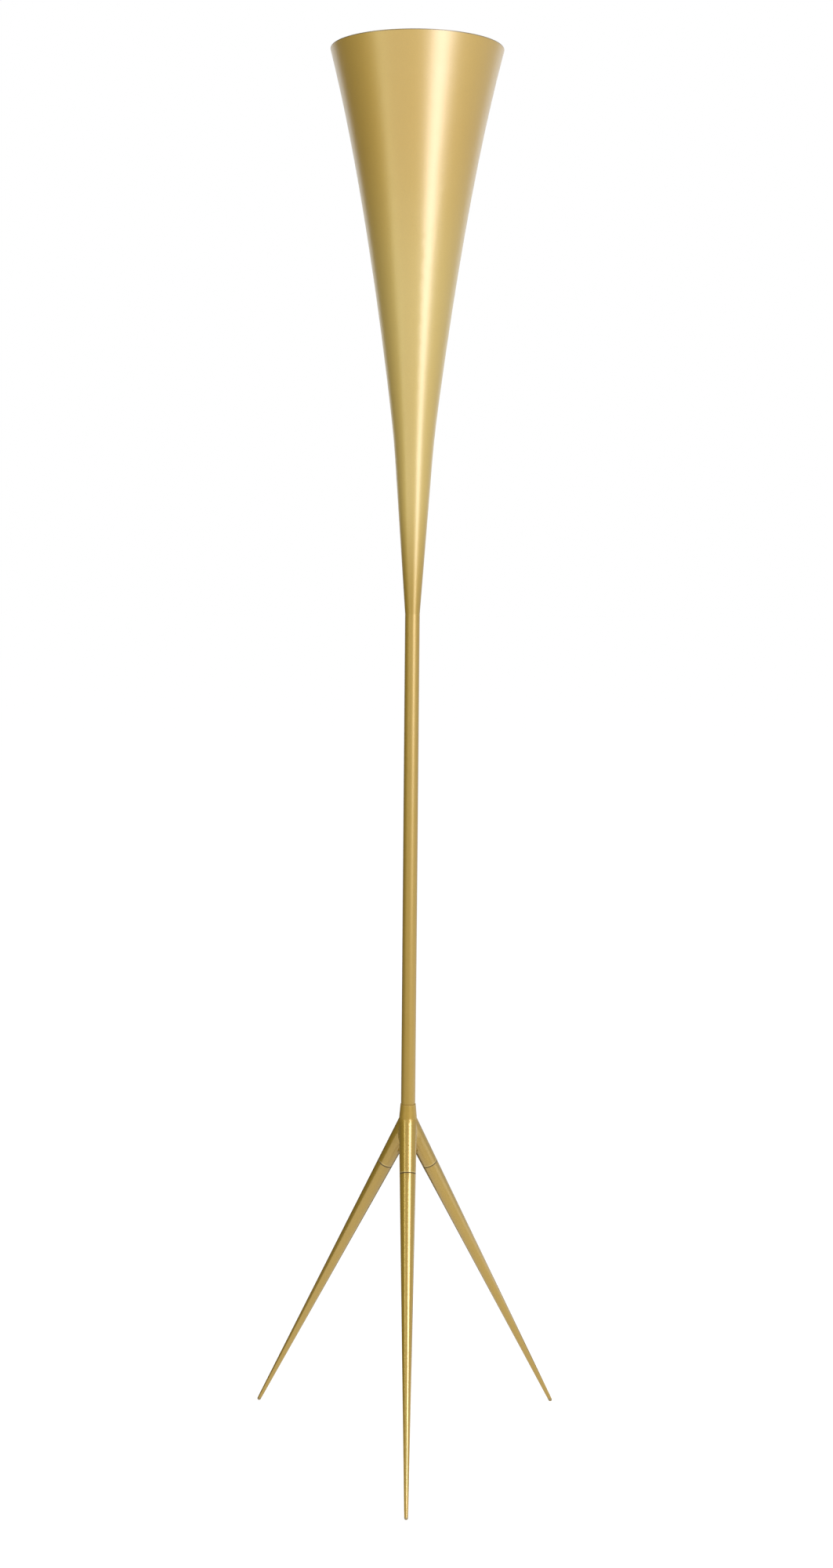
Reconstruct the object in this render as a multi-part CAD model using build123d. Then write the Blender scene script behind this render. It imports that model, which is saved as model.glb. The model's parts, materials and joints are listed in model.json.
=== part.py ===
from build123d import *
import math
import os

# Tripod floor lamp: a trumpet uplight on a thin pole, carried by a three-armed hub and three tapered legs.
# Millimetres, +Z up. The origin is on the lamp's axis at floor level, and the front leg points along -Y.

# Overall
TOTAL_HEIGHT = 1920.0  # floor to the top of the horn's lip
FOOT_CIRCLE_RADIUS = 251.0  # lamp axis to the middle of each foot's flat
LEG_SIDES = ("front", "right", "left")  # evenly round the axis, in this order

# Fits
RUNNING_FIT = 0.05  # radial room between a thread or a pressed bush and its hole
LOOSE_FIT = 0.2  # room around pieces that are only trapped or clamped

# Horn, from its neck on the pole up to the rim
HORN_WALL = 1.5
CONE_LENGTH = 209.0  # straight cone above the neck
WAIST_RADIUS = 25.3  # top of the straight cone
THROAT_LENGTH = 85.0
THROAT_RADIUS = 34.5
BELL_LENGTH = 230.0
BELL_RADIUS = 68.8
FLARE_LENGTH = 220.0
RIM_RADIUS = 115.0
RIM_FLARE = 14.6  # degrees from upright

# Pole
POLE_RADIUS = 10.0
POLE_WALL = 1.5
POLE_CHAMFER = 0.4

# Hub
HUB_TOP = 490.0  # floor to the seam between hub and pole
COLLAR_HEIGHT = 24.0  # that seam down to where the leg axes meet
COLLAR_RADIUS = 10.7
COLLAR_ROUND = 0.5
ARM_ROOT_RADIUS = 12.8
ARM_LENGTH = 76.0  # along the leg's axis, to the seam with the leg
ARM_BLEND = 4.0  # round in the creases between arms and collar
SEAM_CHAMFER = 0.5
BOSS_RADIUS = 8.0
BOSS_DROP = 54.0  # where the leg axes meet down to the boss's face
SKIRT_DROP = 6.0  # how far the collar runs down inside the arms

# Legs, turned from bar
LEG_TOP_RADIUS = 11.35
LEG_END_RADIUS = 2.95
STUD_RADIUS = 5.0
STUD_CHAMFER = 0.8
STUD_IN_HUB = 16.0
STUD_IN_LEG = 24.0
STUD_END_ROOM = 1.0

# Feet
FOOT_LENGTH = 9.0  # seam with the leg to the centre of the round end
FOOT_END_RADIUS = 2.6
FOOT_FLAT_DEPTH = 0.6  # how much of the round end the floor takes off
FOOT_STEM_RADIUS = 1.3
FOOT_STEM_LENGTH = 8.0

# Hollow lamp thread: nipple, rod, and what screws on them
LAMP_THREAD_RADIUS = 5.0
LAMP_THREAD_BORE = 3.5
NIPPLE_IN_HUB = 26.0
BUSH_LENGTH = 24.0
NIPPLE_IN_BUSH = 20.0
SPIGOT_LENGTH = 14.0  # how far the top bush reaches into the horn's neck
NUT_ACROSS_FLATS = 14.0
NUT_HEIGHT = 5.0

# Set screw in the rear of the collar
SET_SCREW_RADIUS = 2.5
SET_SCREW_DROP = 10.0
SET_SCREW_RECESS = 0.5
SET_SCREW_KEY = 2.5  # across the flats of its socket
SET_SCREW_KEY_DEPTH = 2.5

# Cord bushing under the hub
CORD_RADIUS = 3.2
CORD_ROOM = 0.3
BUSHING_STEM = 16.0
BUSHING_FLANGE_RADIUS = 7.2
BUSHING_FLANGE = 4.0
BUSHING_ROUND = 1.0

# Plate that centres the horn on the rod
PLATE_DROP = 300.0  # rim down to the plate's upper face
PLATE_THICKNESS = 3.0
PLATE_VENTS = 6
VENT_RADIUS = 7.0
VENT_CIRCLE_RADIUS = 31.0
WASHER_RADIUS = 9.5
WASHER_THICKNESS = 1.2

# Bulb, heights above the face of its centre contact
BULB_DROP = 70.0  # rim down to the top of the bulb
CONTACT_RADIUS = 4.5
CONTACT_HEIGHT = 1.6
INSULATOR_RADIUS = 11.0
INSULATOR_HEIGHT = 3.0
BULB_CAP_RADIUS = 13.0
BULB_CAP_WALL = 0.5
BULB_CAP_HEIGHT = 20.4
HOUSING_HEIGHT = 39.0
HOUSING_TOP_RADIUS = 26.5
HOUSING_COLLAR = 0.8  # how far the housing stands out over the cap
HOUSING_WALL = 2.0
HOUSING_PLUG = 7.0
DOME_RADIUS = 30.0
DOME_WALL = 1.4
BOARD_THICKNESS = 1.6
BOARD_SINK = 3.0  # dome seat down to the top of the board
DRIVER_WIDTH = 20.0
DRIVER_HEIGHT = 26.0
CHIP_COUNT = 12
CHIP_SIZE = 3.0
CHIP_HEIGHT = 0.8
CHIP_CIRCLE_RADIUS = 15.0

# Lampholder, depths below the same contact face
HOLDER_RADIUS = 19.5
SLEEVE_WALL = 2.5
SLEEVE_RISE = 22.0  # its lip above the contact face
LIP_THICKNESS = 2.5
SHELL_WALL = 0.5
SPRING_THICKNESS = 0.6
SPRING_WIDTH = 6.0
SPRING_REACH = 9.0
SPRING_LIFT = 2.4
CORE_THICKNESS = 11.0
CUP_WALL = 4.0
CUP_DEPTH = 18.0  # inside height under the core
CUP_FLOOR = 4.0
CUP_NECK_RADIUS = 8.0
CUP_NECK_LENGTH = 7.0
CUP_SHOULDER = 9.0
ROD_STANDOUT = 2.0  # how far the rod stands up through the cup's floor
TERMINAL_PLACE = 9.5
TERMINAL_WIDTH = 6.0
TERMINAL_DEPTH = 8.0
TERMINAL_HEIGHT = 7.0
TERMINAL_SCREW_RADIUS = 1.6
TERMINAL_HEAD_RADIUS = 2.4
TERMINAL_HEAD_HEIGHT = 1.6
TERMINAL_SCREW_LENGTH = 5.0

# Wiring
CABLE_STANDOUT = 2.0  # sheath above the rod's end
WIRE_RADIUS = 1.0
WIRE_PLACE = 1.6
WIRE_BEND = 3.0
WIRE_ENTRY = 3.5  # below the top of the terminal

# Levels and places that follow from the sizes above
HORN_LENGTH = CONE_LENGTH + THROAT_LENGTH + BELL_LENGTH + FLARE_LENGTH
POLE_TOP = TOTAL_HEIGHT - HORN_LENGTH
POLE_BORE = POLE_RADIUS - POLE_WALL
APEX_HEIGHT = HUB_TOP - COLLAR_HEIGHT
BOSS_FACE = APEX_HEIGHT - BOSS_DROP
FOOT_CENTRE_HEIGHT = FOOT_END_RADIUS - FOOT_FLAT_DEPTH
LEG_REACH = math.hypot(FOOT_CIRCLE_RADIUS, APEX_HEIGHT - FOOT_CENTRE_HEIGHT)
LEG_END = LEG_REACH - FOOT_LENGTH
TAPPED_RADIUS = LAMP_THREAD_RADIUS + RUNNING_FIT
BUSHING_TOP = BOSS_FACE + BUSHING_STEM
PLATE_TOP = TOTAL_HEIGHT - PLATE_DROP
CAP_BASE = CONTACT_HEIGHT + INSULATOR_HEIGHT
HOUSING_BASE = CAP_BASE + BULB_CAP_HEIGHT
HOUSING_NECK_RADIUS = BULB_CAP_RADIUS + HOUSING_COLLAR
DOME_SEAT = HOUSING_BASE + HOUSING_HEIGHT
DOME_CENTRE = DOME_SEAT + math.sqrt(DOME_RADIUS**2 - HOUSING_TOP_RADIUS**2)
BULB_SEAT = TOTAL_HEIGHT - BULB_DROP - DOME_CENTRE - DOME_RADIUS
CORE_TOP = -RUNNING_FIT - SPRING_THICKNESS - SPRING_LIFT
CORE_BOTTOM = CORE_TOP - CORE_THICKNESS
CUP_FLOOR_TOP = CORE_BOTTOM - CUP_DEPTH
CUP_BOTTOM = CUP_FLOOR_TOP - CUP_FLOOR
HOLDER_BOTTOM = CUP_BOTTOM - CUP_NECK_LENGTH
ROD_TOP = CUP_FLOOR_TOP + ROD_STANDOUT
CABLE_TOP = ROD_TOP + CABLE_STANDOUT


def turned(*outline):
    """A solid of revolution about Z from the (radius, height) corners of its half section."""
    section = make_face(Polyline(*outline, close=True))
    return revolve(Plane.XZ * section, Axis.Z)


def tube(outer, inner, low, high):
    """A plain round tube between two heights."""
    return turned((inner, low), (outer, low), (outer, high), (inner, high))


def rod(radius, low, high):
    """A plain round bar between two heights."""
    return turned((0, low), (radius, low), (radius, high), (0, high))


def chamfered_rod(radius, low, high, chamfer_size):
    """A round bar with both ends chamfered."""
    neck = radius - chamfer_size
    return turned(
        (0, low),
        (neck, low),
        (radius, low + chamfer_size),
        (radius, high - chamfer_size),
        (neck, high),
        (0, high),
    )


def hexagonal_bar(across_flats, height):
    """A six-sided bar that stands on the XY plane."""
    sides = 6
    return extrude(RegularPolygon(across_flats / 2, sides, major_radius=False), height)


def leg_azimuth(side):
    """The angle of one leg round the lamp's axis, in radians from +X, with the front leg along -Y."""
    return LEG_SIDES.index(side) * 2 * math.pi / len(LEG_SIDES) - math.pi / 2


def along_leg(side):
    """The frame of one leg: its origin where the leg axes meet, its Z out along the leg."""
    azimuth = leg_azimuth(side)
    drop = APEX_HEIGHT - FOOT_CENTRE_HEIGHT
    outward = (
        FOOT_CIRCLE_RADIUS * math.cos(azimuth),
        FOOT_CIRCLE_RADIUS * math.sin(azimuth),
        -drop,
    )
    return Plane(origin=(0, 0, APEX_HEIGHT), z_dir=outward)


def horn_side(inset):
    """The horn's side as edges from neck to rim, set in towards the axis by inset."""
    lip_rise = HORN_WALL / 2
    neck = (POLE_RADIUS - inset, POLE_TOP)
    waist = (WAIST_RADIUS - inset, POLE_TOP + CONE_LENGTH)
    throat = (THROAT_RADIUS - inset, waist[1] + THROAT_LENGTH)
    bell = (BELL_RADIUS - inset, throat[1] + BELL_LENGTH)
    rim = (RIM_RADIUS - inset, TOTAL_HEIGHT - lip_rise)
    cone_slope = (WAIST_RADIUS - POLE_RADIUS, CONE_LENGTH)
    rim_slope = (math.sin(math.radians(RIM_FLARE)), math.cos(math.radians(RIM_FLARE)))
    flare = Spline(waist, throat, bell, rim, tangents=[cone_slope, rim_slope])
    return Line(neck, waist), flare


def horn_bore(height):
    """The horn's inner radius at a height above its straight cone, found by halving the flare's length."""
    flare = horn_side(HORN_WALL)[1]
    halvings = 50
    low, high = 0.0, 1.0
    for _ in range(halvings):
        middle = (low + high) / 2
        if flare.position_at(middle).Y < height:
            low = middle
        else:
            high = middle
    return flare.position_at(low).X


def make_horn():
    outer_cone, outer_flare = horn_side(0)
    inner_cone, inner_flare = horn_side(HORN_WALL)
    rim_height = TOTAL_HEIGHT - HORN_WALL / 2
    lip = ThreePointArc(
        (RIM_RADIUS, rim_height),
        (RIM_RADIUS - HORN_WALL / 2, TOTAL_HEIGHT),
        (RIM_RADIUS - HORN_WALL, rim_height),
    )
    neck = Line((POLE_RADIUS - HORN_WALL, POLE_TOP), (POLE_RADIUS, POLE_TOP))
    section = make_face([neck, outer_cone, outer_flare, lip, inner_flare, inner_cone])
    return revolve(Plane.XZ * section, Axis.Z)


def make_pole():
    return turned(
        (POLE_BORE, HUB_TOP),
        (POLE_RADIUS - POLE_CHAMFER, HUB_TOP),
        (POLE_RADIUS, HUB_TOP + POLE_CHAMFER),
        (POLE_RADIUS, POLE_TOP),
        (POLE_BORE, POLE_TOP),
    )


def make_hub():
    collar = turned(
        (0, APEX_HEIGHT - SKIRT_DROP),
        (ARM_ROOT_RADIUS, APEX_HEIGHT - SKIRT_DROP),
        (ARM_ROOT_RADIUS, APEX_HEIGHT),
        (COLLAR_RADIUS, HUB_TOP),
        (0, HUB_TOP),
    )
    collar = fillet(collar.edges().group_by(Axis.Z)[-1], COLLAR_ROUND)
    arm = turned(
        (0, 0),
        (ARM_ROOT_RADIUS, 0),
        (LEG_TOP_RADIUS, ARM_LENGTH - SEAM_CHAMFER),
        (LEG_TOP_RADIUS - SEAM_CHAMFER, ARM_LENGTH),
        (0, ARM_LENGTH),
    )
    stud_depth = STUD_IN_HUB + STUD_END_ROOM
    stud_hole = rod(STUD_RADIUS + RUNNING_FIT, ARM_LENGTH - stud_depth, ARM_LENGTH + SEAM_CHAMFER)
    hub = collar
    for side in LEG_SIDES:
        hub += along_leg(side) * arm
    hub = fillet(hub.edges().filter_by(GeomType.BSPLINE), ARM_BLEND)
    hub += rod(BOSS_RADIUS, BOSS_FACE, APEX_HEIGHT)
    for side in LEG_SIDES:
        hub -= along_leg(side) * stud_hole
    hub -= rod(TAPPED_RADIUS, BOSS_FACE, HUB_TOP)
    screw_hole = rod(SET_SCREW_RADIUS + RUNNING_FIT, 0, ARM_ROOT_RADIUS + TAPPED_RADIUS)
    return hub - set_screw_frame() * screw_hole


def set_screw_frame():
    """The frame of the set screw: its Z points to the rear, square to the lamp's axis."""
    return Plane(origin=(0, 0, HUB_TOP - SET_SCREW_DROP), z_dir=(0, 1, 0))


def make_set_screw():
    slope = (ARM_ROOT_RADIUS - COLLAR_RADIUS) / COLLAR_HEIGHT
    outer_end = COLLAR_RADIUS + slope * SET_SCREW_DROP - SET_SCREW_RECESS
    screw = rod(SET_SCREW_RADIUS, TAPPED_RADIUS, outer_end)
    socket = hexagonal_bar(SET_SCREW_KEY, SET_SCREW_KEY_DEPTH)
    return set_screw_frame() * (screw - Pos(0, 0, outer_end - SET_SCREW_KEY_DEPTH) * socket)


def make_leg(side):
    stem_hole = FOOT_STEM_LENGTH + STUD_END_ROOM
    bar = turned(
        (0, ARM_LENGTH),
        (LEG_TOP_RADIUS - SEAM_CHAMFER, ARM_LENGTH),
        (LEG_TOP_RADIUS, ARM_LENGTH + SEAM_CHAMFER),
        (LEG_END_RADIUS, LEG_END),
        (0, LEG_END),
    )
    bar -= rod(STUD_RADIUS + RUNNING_FIT, ARM_LENGTH, ARM_LENGTH + STUD_IN_LEG + STUD_END_ROOM)
    bar -= rod(FOOT_STEM_RADIUS + RUNNING_FIT, LEG_END - stem_hole, LEG_END)
    return along_leg(side) * bar


def make_leg_stud(side):
    stud = chamfered_rod(
        STUD_RADIUS, ARM_LENGTH - STUD_IN_HUB, ARM_LENGTH + STUD_IN_LEG, STUD_CHAMFER
    )
    return along_leg(side) * stud


def make_foot(side):
    edges = [
        Line((0, LEG_END - FOOT_STEM_LENGTH), (FOOT_STEM_RADIUS, LEG_END - FOOT_STEM_LENGTH)),
        Line((FOOT_STEM_RADIUS, LEG_END - FOOT_STEM_LENGTH), (FOOT_STEM_RADIUS, LEG_END)),
        Line((FOOT_STEM_RADIUS, LEG_END), (LEG_END_RADIUS, LEG_END)),
        Line((LEG_END_RADIUS, LEG_END), (FOOT_END_RADIUS, LEG_REACH)),
        CenterArc((0, LEG_REACH), FOOT_END_RADIUS, 0, 90),
        Line((0, LEG_REACH + FOOT_END_RADIUS), (0, LEG_END - FOOT_STEM_LENGTH)),
    ]
    foot = along_leg(side) * revolve(Plane.XZ * make_face(edges), Axis.Z)
    return split(foot, Plane.XY, keep=Keep.TOP)


def make_hub_nipple():
    return tube(
        LAMP_THREAD_RADIUS, LAMP_THREAD_BORE, HUB_TOP - NIPPLE_IN_HUB, HUB_TOP + NIPPLE_IN_BUSH
    )


def make_pole_bottom_bush():
    return tube(POLE_BORE - RUNNING_FIT, TAPPED_RADIUS, HUB_TOP, HUB_TOP + BUSH_LENGTH)


def make_pole_top_bush():
    spigot_radius = POLE_RADIUS - HORN_WALL - LOOSE_FIT
    return turned(
        (TAPPED_RADIUS, POLE_TOP - BUSH_LENGTH),
        (POLE_BORE - RUNNING_FIT, POLE_TOP - BUSH_LENGTH),
        (POLE_BORE - RUNNING_FIT, POLE_TOP - LOOSE_FIT),
        (spigot_radius, POLE_TOP - LOOSE_FIT),
        (spigot_radius, POLE_TOP + SPIGOT_LENGTH),
        (TAPPED_RADIUS, POLE_TOP + SPIGOT_LENGTH),
    )


def make_cord_bushing():
    flange_face = BOSS_FACE - BUSHING_FLANGE
    bore = CORD_RADIUS + CORD_ROOM
    return turned(
        (bore, flange_face),
        (BUSHING_FLANGE_RADIUS - BUSHING_ROUND, flange_face),
        (BUSHING_FLANGE_RADIUS, flange_face + BUSHING_ROUND),
        (BUSHING_FLANGE_RADIUS, BOSS_FACE),
        (LAMP_THREAD_RADIUS, BOSS_FACE),
        (LAMP_THREAD_RADIUS, BUSHING_TOP),
        (bore, BUSHING_TOP),
    )


def make_support_rod():
    low = POLE_TOP - BUSH_LENGTH
    return tube(LAMP_THREAD_RADIUS, LAMP_THREAD_BORE, low, BULB_SEAT + ROD_TOP)


def make_centring_plate():
    low = PLATE_TOP - PLATE_THICKNESS
    plate = turned(
        (TAPPED_RADIUS, low),
        (horn_bore(low) - LOOSE_FIT, low),
        (horn_bore(PLATE_TOP) - LOOSE_FIT, PLATE_TOP),
        (TAPPED_RADIUS, PLATE_TOP),
    )
    vent = rod(VENT_RADIUS, low, PLATE_TOP)
    return plate - PolarLocations(VENT_CIRCLE_RADIUS, PLATE_VENTS) * vent


def make_plate_washer():
    return tube(WASHER_RADIUS, TAPPED_RADIUS, PLATE_TOP, PLATE_TOP + WASHER_THICKNESS)


def make_rod_nuts():
    """The nut that clamps the plate, and the one that locks the lampholder."""
    nut = hexagonal_bar(NUT_ACROSS_FLATS, NUT_HEIGHT) - rod(TAPPED_RADIUS, 0, NUT_HEIGHT)
    clamp_height = PLATE_TOP + WASHER_THICKNESS
    lock_height = BULB_SEAT + HOLDER_BOTTOM - NUT_HEIGHT
    return [Pos(0, 0, clamp_height) * nut, Pos(0, 0, lock_height) * nut]


def make_holder_cap():
    """The cup under the lampholder, with the threaded neck that screws on the rod."""
    return turned(
        (TAPPED_RADIUS, HOLDER_BOTTOM),
        (CUP_NECK_RADIUS, HOLDER_BOTTOM),
        (CUP_NECK_RADIUS, CUP_BOTTOM),
        (HOLDER_RADIUS - CUP_SHOULDER, CUP_BOTTOM),
        (HOLDER_RADIUS, CUP_BOTTOM + CUP_SHOULDER),
        (HOLDER_RADIUS, CORE_BOTTOM),
        (HOLDER_RADIUS - CUP_WALL, CORE_BOTTOM),
        (HOLDER_RADIUS - CUP_WALL, CUP_BOTTOM + CUP_SHOULDER),
        (HOLDER_RADIUS - CUP_WALL - CUP_SHOULDER + CUP_FLOOR, CUP_FLOOR_TOP),
        (TAPPED_RADIUS, CUP_FLOOR_TOP),
    )


def make_holder_core():
    core_radius = HOLDER_RADIUS - SLEEVE_WALL - LOOSE_FIT
    return rod(core_radius, CORE_BOTTOM, CORE_TOP)


def terminal_sides():
    """The two terminals' places, one each side of the axis."""
    return [Pos(-TERMINAL_PLACE, 0, 0), Pos(TERMINAL_PLACE, 0, 0)]


def make_holder_terminals():
    block = Pos(0, 0, CORE_BOTTOM - TERMINAL_HEIGHT / 2) * Box(
        TERMINAL_WIDTH, TERMINAL_DEPTH, TERMINAL_HEIGHT
    )
    low = CORE_BOTTOM - TERMINAL_HEIGHT
    hole = rod(TERMINAL_SCREW_RADIUS + RUNNING_FIT, low, low + TERMINAL_SCREW_LENGTH)
    return [place * (block - hole) for place in terminal_sides()]


def make_terminal_screws():
    low = CORE_BOTTOM - TERMINAL_HEIGHT
    screw = rod(TERMINAL_HEAD_RADIUS, low - TERMINAL_HEAD_HEIGHT, low)
    screw += rod(TERMINAL_SCREW_RADIUS, low, low + TERMINAL_SCREW_LENGTH - LOOSE_FIT)
    return [place * screw for place in terminal_sides()]


def make_holder_contact():
    """The leaf spring that the bulb's centre contact presses on."""
    top = -RUNNING_FIT
    foot = CORE_TOP + SPRING_THICKNESS
    leaf = make_face(
        Polyline(
            (-SPRING_REACH, CORE_TOP),
            (-CONTACT_RADIUS, CORE_TOP),
            (-SPRING_THICKNESS, top - SPRING_THICKNESS),
            (CONTACT_RADIUS, top - SPRING_THICKNESS),
            (CONTACT_RADIUS, top),
            (-2 * SPRING_THICKNESS, top),
            (-CONTACT_RADIUS - SPRING_THICKNESS, foot),
            (-SPRING_REACH, foot),
            close=True,
        )
    )
    return extrude(Plane.XZ * leaf, SPRING_WIDTH / 2, both=True)


def make_holder_shell():
    """The threaded sleeve that the bulb's cap screws into."""
    bore = BULB_CAP_RADIUS + RUNNING_FIT
    return tube(bore + SHELL_WALL, bore, CORE_TOP, SLEEVE_RISE - LIP_THICKNESS)


def make_holder_sleeve():
    lip_bore = BULB_CAP_RADIUS + RUNNING_FIT + LOOSE_FIT
    return turned(
        (HOLDER_RADIUS - SLEEVE_WALL, CORE_BOTTOM),
        (HOLDER_RADIUS, CORE_BOTTOM),
        (HOLDER_RADIUS, SLEEVE_RISE),
        (lip_bore, SLEEVE_RISE),
        (lip_bore, SLEEVE_RISE - LIP_THICKNESS),
        (HOLDER_RADIUS - SLEEVE_WALL, SLEEVE_RISE - LIP_THICKNESS),
    )


def make_bulb_contact():
    return rod(CONTACT_RADIUS, 0, CONTACT_HEIGHT)


def make_bulb_insulator():
    return turned(
        (0, CONTACT_HEIGHT), (CONTACT_RADIUS, CONTACT_HEIGHT), (INSULATOR_RADIUS, CAP_BASE), (0, CAP_BASE)
    )


def make_bulb_cap():
    return turned(
        (0, CAP_BASE),
        (BULB_CAP_RADIUS, CAP_BASE),
        (BULB_CAP_RADIUS, HOUSING_BASE),
        (BULB_CAP_RADIUS - BULB_CAP_WALL, HOUSING_BASE),
        (BULB_CAP_RADIUS - BULB_CAP_WALL, CAP_BASE + BULB_CAP_WALL),
        (0, CAP_BASE + BULB_CAP_WALL),
    )


def make_bulb_housing():
    plug_radius = BULB_CAP_RADIUS - BULB_CAP_WALL - RUNNING_FIT
    board_low = DOME_SEAT - BOARD_SINK - BOARD_THICKNESS
    board_bore = board_seat_radius()
    return turned(
        (0, HOUSING_BASE - HOUSING_PLUG),
        (plug_radius, HOUSING_BASE - HOUSING_PLUG),
        (plug_radius, HOUSING_BASE),
        (HOUSING_NECK_RADIUS, HOUSING_BASE),
        (HOUSING_TOP_RADIUS, DOME_SEAT),
        (board_bore, DOME_SEAT),
        (board_bore, board_low),
        (board_bore - HOUSING_WALL, board_low),
        (plug_radius - HOUSING_WALL, HOUSING_BASE + HOUSING_WALL),
        (0, HOUSING_BASE + HOUSING_WALL),
    )


def board_seat_radius():
    """The radius of the housing's seat for the board, one wall in from the housing's outside."""
    slope = (HOUSING_TOP_RADIUS - HOUSING_NECK_RADIUS) / HOUSING_HEIGHT
    seat_depth = BOARD_SINK + BOARD_THICKNESS
    return HOUSING_TOP_RADIUS - slope * seat_depth - HOUSING_WALL


def make_led_board():
    top = DOME_SEAT - BOARD_SINK
    return rod(board_seat_radius() - RUNNING_FIT, top - BOARD_THICKNESS, top)


def make_led_chips():
    chip = Pos(0, 0, DOME_SEAT - BOARD_SINK + CHIP_HEIGHT / 2) * Box(CHIP_SIZE, CHIP_SIZE, CHIP_HEIGHT)
    return [place * chip for place in PolarLocations(CHIP_CIRCLE_RADIUS, CHIP_COUNT)]


def make_driver_board():
    low = HOUSING_BASE + HOUSING_WALL
    return Pos(0, 0, low + DRIVER_HEIGHT / 2) * Box(DRIVER_WIDTH, BOARD_THICKNESS, DRIVER_HEIGHT)


def make_bulb_dome():
    inner = DOME_RADIUS - DOME_WALL
    seat_angle = math.degrees(math.asin((DOME_SEAT - DOME_CENTRE) / DOME_RADIUS))
    inner_angle = math.degrees(math.asin((DOME_SEAT - DOME_CENTRE) / inner))
    seat_bore = math.sqrt(inner**2 - (DOME_SEAT - DOME_CENTRE) ** 2)
    edges = [
        Line((seat_bore, DOME_SEAT), (HOUSING_TOP_RADIUS, DOME_SEAT)),
        CenterArc((0, DOME_CENTRE), DOME_RADIUS, seat_angle, 90 - seat_angle),
        Line((0, DOME_CENTRE + DOME_RADIUS), (0, DOME_CENTRE + inner)),
        CenterArc((0, DOME_CENTRE), inner, 90, inner_angle - 90),
    ]
    return revolve(Plane.XZ * make_face(edges), Axis.Z)


def make_inner_cable():
    return rod(CORD_RADIUS, BUSHING_TOP + LOOSE_FIT, BULB_SEAT + CABLE_TOP)


def make_wire(side):
    """One core from the end of the sheath up and across to its terminal; side is 1 or -1."""
    entry = CORE_BOTTOM - WIRE_ENTRY
    start = (side * WIRE_PLACE, 0, CABLE_TOP)
    corner = (side * WIRE_PLACE, 0, entry)
    end = (side * (TERMINAL_PLACE - TERMINAL_WIDTH / 2), 0, entry)
    route = FilletPolyline(start, corner, end, radius=WIRE_BEND)
    return sweep(Plane(origin=start, z_dir=(0, 0, 1)) * Circle(WIRE_RADIUS), path=route)


def at_seat(piece):
    """Moves a piece of the bulb or lampholder from its own heights to its place in the lamp."""
    if isinstance(piece, list):
        return [at_seat(solid) for solid in piece]
    return Pos(0, 0, BULB_SEAT) * piece


def make_nodes():
    nodes = {
        "horn": make_horn(),
        "pole": make_pole(),
        "hub": make_hub(),
        "hub_nipple": make_hub_nipple(),
        "pole_bottom_bush": make_pole_bottom_bush(),
        "pole_top_bush": make_pole_top_bush(),
        "pole_set_screw": make_set_screw(),
        "cord_bushing": make_cord_bushing(),
        "support_rod": make_support_rod(),
        "centring_plate": make_centring_plate(),
        "plate_washer": make_plate_washer(),
        "rod_nuts": make_rod_nuts(),
        "inner_cable": make_inner_cable(),
        "wire_live": at_seat(make_wire(1)),
        "wire_neutral": at_seat(make_wire(-1)),
        "holder_cap": at_seat(make_holder_cap()),
        "holder_core": at_seat(make_holder_core()),
        "holder_terminals": at_seat(make_holder_terminals()),
        "terminal_screws": at_seat(make_terminal_screws()),
        "holder_contact": at_seat(make_holder_contact()),
        "holder_shell": at_seat(make_holder_shell()),
        "holder_sleeve": at_seat(make_holder_sleeve()),
        "bulb_contact": at_seat(make_bulb_contact()),
        "bulb_insulator": at_seat(make_bulb_insulator()),
        "bulb_cap": at_seat(make_bulb_cap()),
        "bulb_housing": at_seat(make_bulb_housing()),
        "driver_board": at_seat(make_driver_board()),
        "led_board": at_seat(make_led_board()),
        "led_chips": at_seat(make_led_chips()),
        "bulb_dome": at_seat(make_bulb_dome()),
    }
    for side in LEG_SIDES:
        nodes[f"leg_{side}"] = make_leg(side)
        nodes[f"leg_stud_{side}"] = make_leg_stud(side)
        nodes[f"foot_{side}"] = make_foot(side)
    return nodes


os.makedirs("parts", exist_ok=True)
for name, piece in make_nodes().items():
    if isinstance(piece, list):
        piece = Compound(children=piece)
    export_step(piece, f"parts/{name}.step")
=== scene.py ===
import json
import math
from typing import NamedTuple

import bmesh
import bpy
from bpy.props import FloatProperty, FloatVectorProperty, IntProperty, PointerProperty
from bpy.types import Operator, Panel, PropertyGroup
from mathutils import Matrix, Vector


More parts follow.
